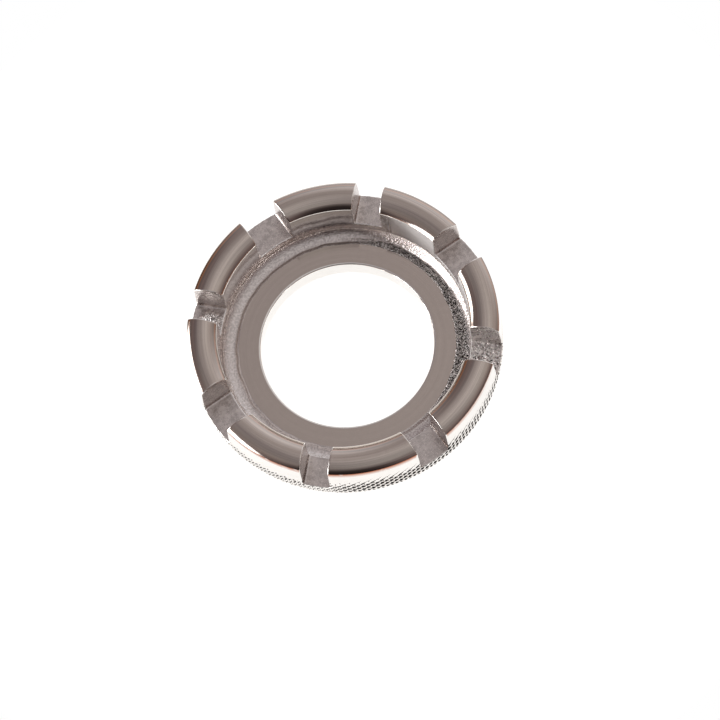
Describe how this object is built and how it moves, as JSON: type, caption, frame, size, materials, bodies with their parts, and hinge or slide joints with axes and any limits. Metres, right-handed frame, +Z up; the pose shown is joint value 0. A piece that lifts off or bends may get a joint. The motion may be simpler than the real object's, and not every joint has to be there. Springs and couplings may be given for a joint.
{
  "type": "spoke wrench",
  "caption": "Round spoke wrench: a plated steel ring with a knurled grip, a flange round a wide hole and a domed crown crossed by slots of graded width for spoke nipples.",
  "frame": {"origin": "centre of the flat foot, on the axis of the hole", "axes": "+Z up along the hole, from the foot to the slotted crown; +X through the middle of nipple_slot_1, and the slots are numbered counterclockwise from there seen from above"},
  "size_m": [0.038, 0.038, 0.0096],
  "materials": {
    "plated_steel": "bright nickel-chrome plate, satin on the turned lands and the faced pad, polished on the outer wall, rough as cast in the gutter"
  },
  "bodies": {
    "root": {"slotted_ring": "plated_steel"}
  },
  "joints": []
}
